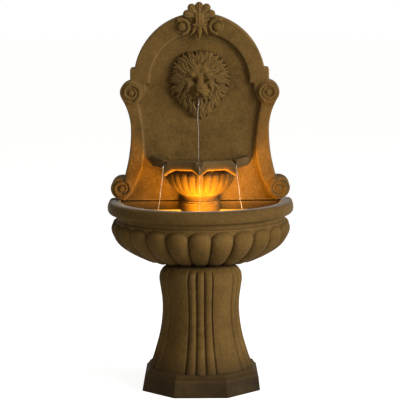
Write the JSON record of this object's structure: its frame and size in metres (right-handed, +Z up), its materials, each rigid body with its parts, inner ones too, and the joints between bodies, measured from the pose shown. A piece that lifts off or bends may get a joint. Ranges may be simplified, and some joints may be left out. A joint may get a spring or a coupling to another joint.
{
  "type": "floor fountain",
  "caption": "Free-standing cast-stone fountain: octagonal pedestal, gadrooned basin, arched back panel with lion mask and shell crest, small upper basin, pump and lamp.",
  "frame": {"origin": "on the floor under the middle of the plinth, which is the bottom centre of the box", "axes": "+Z up, the front with the lion mask and spouts towards -Y, +X to the viewer's right"},
  "size_m": [0.7138, 0.444, 1.47],
  "materials": {
    "cast_stone": "matt, cast, lightly pitted",
    "black_plastic": "moulded",
    "dial_plastic": "moulded",
    "wheel_plastic": "moulded",
    "ferrite": "ground",
    "shaft_ceramic": "polished",
    "rubber": "matt",
    "hose_vinyl": "clear, slightly milky",
    "steel": "stainless",
    "brass": "dulled",
    "lens_glass": "clear",
    "board": "white solder mask"
  },
  "bodies": {
    "fountain": {"pedestal": "cast_stone", "lower_basin": "cast_stone", "back_panel": "cast_stone", "shell_crest": "cast_stone", "lion_mask": "cast_stone", "upper_basin": "cast_stone", "riser": "cast_stone", "pump_cover": "cast_stone", "pump_motor": "black_plastic", "pump_chamber": "black_plastic", "intake_grille": "black_plastic", "pump_gland": "black_plastic", "lamp_base": "black_plastic", "lamp_knobs": "black_plastic", "rotor_shaft": "shaft_ceramic", "shaft_bushes": "rubber", "chamber_seal": "rubber", "suction_feet": "rubber", "supply_hose": "hose_vinyl", "hose_clamps": "steel", "hose_straps": "steel", "lamp_bracket": "steel", "locating_pins": "steel", "crest_pin": "steel", "spout_nozzle": "brass", "nozzle_nut": "brass"},
    "rotor": {"impeller": "wheel_plastic", "rotor_magnet": "ferrite"},
    "dial": {"flow_dial": "dial_plastic"},
    "lamp_head": {"lamp_housing": "black_plastic", "lamp_gasket": "rubber", "lamp_lens": "lens_glass", "lamp_bezel": "black_plastic", "led_board": "board", "lamp_gland": "black_plastic"},
    "stopper": {"drain_stopper": "rubber"}
  },
  "joints": [
    {"name": "impeller_spin", "type": "hinge", "parent": "fountain", "child": "rotor", "pos_m": [0, 0.085, 0.57], "axis": [0, 1, 0], "continuous": true},
    {"name": "flow_dial_turn", "type": "hinge", "parent": "fountain", "child": "dial", "pos_m": [0, 0.06, 0.57], "axis": [0, 1, 0], "range_deg": [0, 90]},
    {"name": "lamp_tilt", "type": "hinge", "parent": "fountain", "child": "lamp_head", "pos_m": [0, -0.04, 0.602], "axis": [1, 0, 0], "range_deg": [-30, 30]},
    {"name": "stopper_pull", "type": "slide", "parent": "fountain", "child": "stopper", "axis": [0, 0, 1], "range_m": [0, 0.06]}
  ]
}
